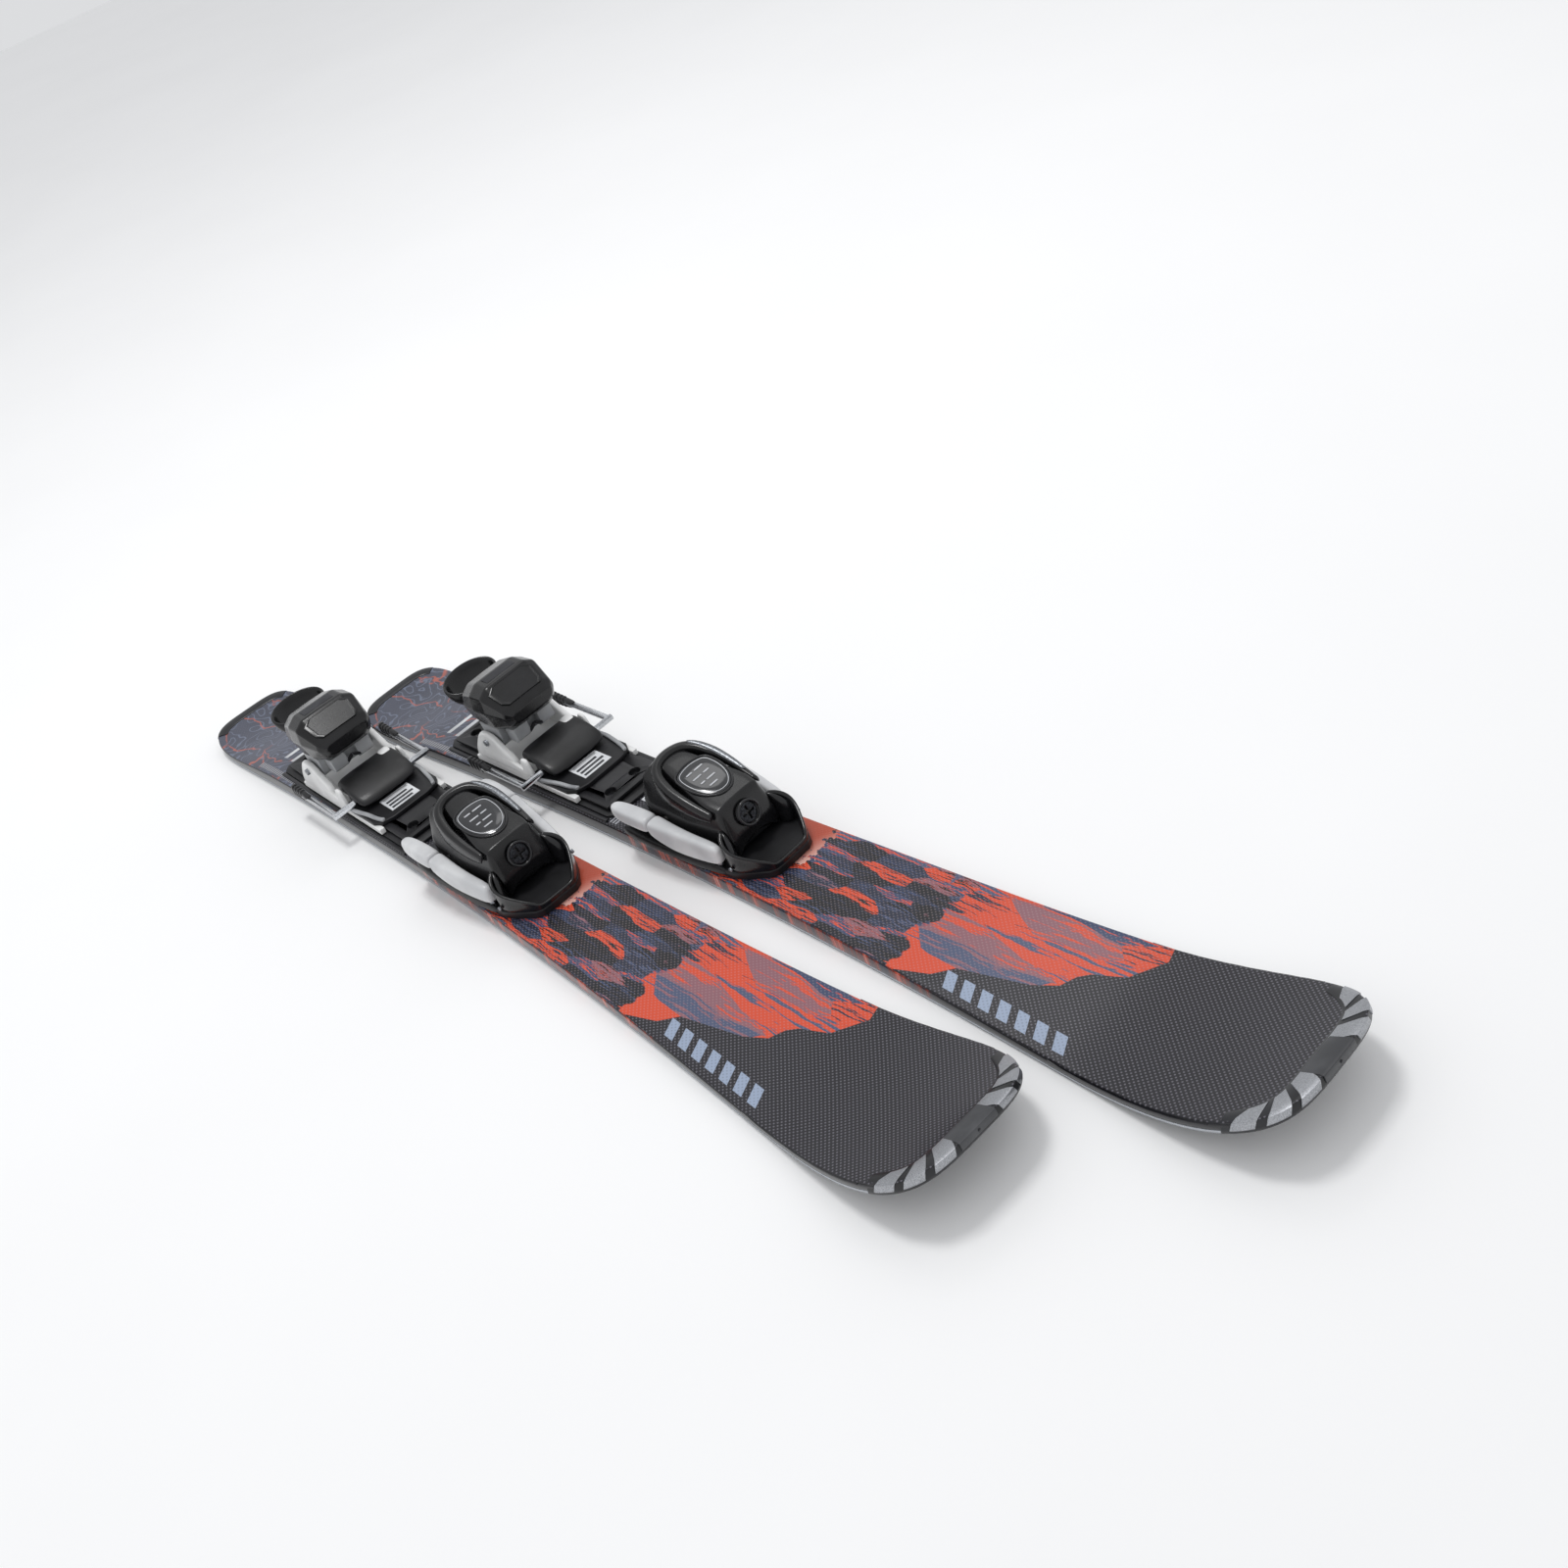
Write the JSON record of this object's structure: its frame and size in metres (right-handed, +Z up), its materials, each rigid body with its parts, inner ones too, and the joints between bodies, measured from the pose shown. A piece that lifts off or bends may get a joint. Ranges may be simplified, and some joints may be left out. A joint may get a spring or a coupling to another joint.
{
  "type": "alpine skis with bindings",
  "caption": "Pair of short junior alpine skis with sprung release bindings: swivelling toe wings, sliding heel piece with tilting housing, and ski brakes.",
  "frame": {"origin": "bottom centre of the box round the pair, on the surface that the soles lie on", "axes": "+X towards the tips along the right ski, +Y to the skier's left, +Z up"},
  "size_m": [1.0237, 0.2339, 0.088],
  "materials": {
    "sole_black": "sintered polyethylene, satin",
    "edge_steel": "ground steel",
    "core_wood": "laminated core, hidden",
    "sidewall_gloss": "gloss with a printed band",
    "topsheet_print": "woven-look print in slate, orange and mauve",
    "protector_silver": "satin silver and black bands",
    "protector_black": "satin black",
    "screw_steel": "zinc plated",
    "binding_black": "moulded black, satin gloss",
    "window_clear": "clear lens over a dark scale",
    "inlay_grey": "silver grey, satin",
    "wing_grey": "light grey moulded plastic",
    "spring_steel": "spring steel",
    "din_screw": "dark moulded head",
    "pad_dark": "low-friction pad",
    "track_black": "glass-filled nylon",
    "carriage_white": "white and light grey moulded plastic",
    "cup_grey": "grey moulded plastic",
    "pedal_black": "soft satin black",
    "wire_steel": "polished steel wire",
    "claw_black": "black moulded claw"
  },
  "bodies": {
    "right_ski": {"right_base": "sole_black", "right_edges": "edge_steel", "right_core": "core_wood", "right_tip_spacer": "sidewall_gloss", "right_sidewalls": "sidewall_gloss", "right_topsheet": "topsheet_print", "right_tip_protector": "protector_silver", "right_tail_protector": "protector_black", "right_binding_screws": "screw_steel", "right_toe_base": "binding_black", "right_toe_housing": "binding_black", "right_toe_window": "window_clear", "right_toe_inlay": "inlay_grey", "right_toe_spring": "spring_steel", "right_afd_pad": "pad_dark", "right_heel_track": "track_black"},
    "right_toe_wing_left": {"right_toe_wing_left": "wing_grey"},
    "right_toe_wing_right": {"right_toe_wing_right": "wing_grey"},
    "right_toe_din": {"right_toe_din_screw": "din_screw"},
    "right_carriage": {"right_heel_carriage": "carriage_white", "right_heel_pin": "screw_steel"},
    "right_latch": {"right_heel_latch": "binding_black"},
    "right_housing": {"right_heel_housing": "binding_black", "right_heel_cup": "cup_grey", "right_heel_spring": "spring_steel"},
    "right_lever": {"right_heel_lever": "binding_black"},
    "right_heel_din": {"right_heel_din_screw": "din_screw"},
    "right_pedal": {"right_brake_pedal": "pedal_black"},
    "right_brake": {"right_brake_arms": "wire_steel", "right_brake_claws": "claw_black"},
    "left_ski": {"left_base": "sole_black", "left_edges": "edge_steel", "left_core": "core_wood", "left_tip_spacer": "sidewall_gloss", "left_sidewalls": "sidewall_gloss", "left_topsheet": "topsheet_print", "left_tip_protector": "protector_silver", "left_tail_protector": "protector_black", "left_binding_screws": "screw_steel", "left_toe_base": "binding_black", "left_toe_housing": "binding_black", "left_toe_window": "window_clear", "left_toe_inlay": "inlay_grey", "left_toe_spring": "spring_steel", "left_afd_pad": "pad_dark", "left_heel_track": "track_black"},
    "left_toe_wing_left": {"left_toe_wing_left": "wing_grey"},
    "left_toe_wing_right": {"left_toe_wing_right": "wing_grey"},
    "left_toe_din": {"left_toe_din_screw": "din_screw"},
    "left_carriage": {"left_heel_carriage": "carriage_white", "left_heel_pin": "screw_steel"},
    "left_latch": {"left_heel_latch": "binding_black"},
    "left_housing": {"left_heel_housing": "binding_black", "left_heel_cup": "cup_grey", "left_heel_spring": "spring_steel"},
    "left_lever": {"left_heel_lever": "binding_black"},
    "left_heel_din": {"left_heel_din_screw": "din_screw"},
    "left_pedal": {"left_brake_pedal": "pedal_black"},
    "left_brake": {"left_brake_arms": "wire_steel", "left_brake_claws": "claw_black"}
  },
  "joints": [
    {"name": "right_toe_wing_right_swing", "type": "hinge", "parent": "right_ski", "child": "right_toe_wing_right", "pos_m": [-0.04501, -0.09193, 0.028], "axis": [0, 0, 1], "range_deg": [0, 15], "stiffness_Nm_per_rad": 6, "springref_deg": -5.73},
    {"name": "right_toe_wing_left_swing", "type": "hinge", "parent": "right_ski", "child": "right_toe_wing_left", "pos_m": [-0.04501, -0.03293, 0.028], "axis": [0, 0, -1], "range_deg": [0, 15], "stiffness_Nm_per_rad": 6, "springref_deg": -5.73},
    {"name": "right_toe_din_turn", "type": "hinge", "parent": "right_ski", "child": "right_toe_din", "pos_m": [-0.03701, -0.06243, 0.044], "axis": [0.9511, 0, 0.309], "range_deg": [-90, 270]},
    {"name": "right_heel_slide", "type": "slide", "parent": "right_ski", "child": "right_carriage", "axis": [1, 0, 0], "range_m": [-0.04, 0.02]},
    {"name": "right_latch_lift", "type": "hinge", "parent": "right_carriage", "child": "right_latch", "pos_m": [-0.32701, -0.06243, 0.0236], "axis": [0, 1, 0], "range_deg": [0, 22], "stiffness_Nm_per_rad": 0.08, "springref_deg": -2.86},
    {"name": "right_housing_close", "type": "hinge", "parent": "right_carriage", "child": "right_housing", "pos_m": [-0.30601, -0.06243, 0.04], "axis": [0, 1, 0], "range_deg": [0, 20]},
    {"name": "right_lever_rise", "type": "hinge", "parent": "right_housing", "child": "right_lever", "pos_m": [-0.32501, -0.06243, 0.0565], "axis": [0, 1, 0], "range_deg": [0, 10]},
    {"name": "right_heel_din_turn", "type": "hinge", "parent": "right_housing", "child": "right_heel_din", "pos_m": [-0.32901, -0.06243, 0.067], "axis": [-1, 0, 0], "range_deg": [-90, 270]},
    {"name": "right_brake_deploy", "type": "hinge", "parent": "right_carriage", "child": "right_brake", "pos_m": [-0.24901, -0.06243, 0.0263], "axis": [0, -1, 0], "range_deg": [0, 60]},
    {"name": "right_pedal_rise", "type": "hinge", "parent": "right_carriage", "child": "right_pedal", "pos_m": [-0.24901, -0.06243, 0.0263], "axis": [0, 1, 0], "range_deg": [0, 6]},
    {"name": "left_toe_wing_right_swing", "type": "hinge", "parent": "left_ski", "child": "left_toe_wing_right", "pos_m": [0.07831, 0.01662, 0.028], "axis": [0, 0, 1], "range_deg": [0, 15], "stiffness_Nm_per_rad": 6, "springref_deg": -5.73},
    {"name": "left_toe_wing_left_swing", "type": "hinge", "parent": "left_ski", "child": "left_toe_wing_left", "pos_m": [0.07574, 0.07556, 0.028], "axis": [0, 0, -1], "range_deg": [0, 15], "stiffness_Nm_per_rad": 6, "springref_deg": -5.73},
    {"name": "left_toe_din_turn", "type": "hinge", "parent": "left_ski", "child": "left_toe_din", "pos_m": [0.08502, 0.04644, 0.044], "axis": [0.9502, 0.0415, 0.309], "range_deg": [-90, 270]},
    {"name": "left_heel_slide", "type": "slide", "parent": "left_ski", "child": "left_carriage", "axis": [0.999, 0.0436, 0], "range_m": [-0.04, 0.02]},
    {"name": "left_latch_lift", "type": "hinge", "parent": "left_carriage", "child": "left_latch", "pos_m": [-0.20471, 0.03379, 0.0236], "axis": [-0.0436, 0.999, 0], "range_deg": [0, 22], "stiffness_Nm_per_rad": 0.08, "springref_deg": -2.86},
    {"name": "left_housing_close", "type": "hinge", "parent": "left_carriage", "child": "left_housing", "pos_m": [-0.18373, 0.0347, 0.04], "axis": [-0.0436, 0.999, 0], "range_deg": [0, 20]},
    {"name": "left_lever_rise", "type": "hinge", "parent": "left_housing", "child": "left_lever", "pos_m": [-0.20271, 0.03388, 0.0565], "axis": [-0.0436, 0.999, 0], "range_deg": [0, 10]},
    {"name": "left_heel_din_turn", "type": "hinge", "parent": "left_housing", "child": "left_heel_din", "pos_m": [-0.20671, 0.0337, 0.067], "axis": [-0.999, -0.0436, 0], "range_deg": [-90, 270]},
    {"name": "left_brake_deploy", "type": "hinge", "parent": "left_carriage", "child": "left_brake", "pos_m": [-0.12678, 0.03719, 0.0263], "axis": [0.0436, -0.999, 0], "range_deg": [0, 60]},
    {"name": "left_pedal_rise", "type": "hinge", "parent": "left_carriage", "child": "left_pedal", "pos_m": [-0.12678, 0.03719, 0.0263], "axis": [-0.0436, 0.999, 0], "range_deg": [0, 6]},
    {"name": "left_ski_lift", "type": "slide", "parent": "right_ski", "child": "left_ski", "axis": [0, 0, 1], "range_m": [0, 0.2]}
  ],
  "couplings": [
    {"joint": "right_lever_rise", "follows": "right_housing_close", "ratio": 0.5},
    {"joint": "right_pedal_rise", "follows": "right_brake_deploy", "ratio": 0.1},
    {"joint": "left_lever_rise", "follows": "left_housing_close", "ratio": 0.5},
    {"joint": "left_pedal_rise", "follows": "left_brake_deploy", "ratio": 0.1}
  ]
}
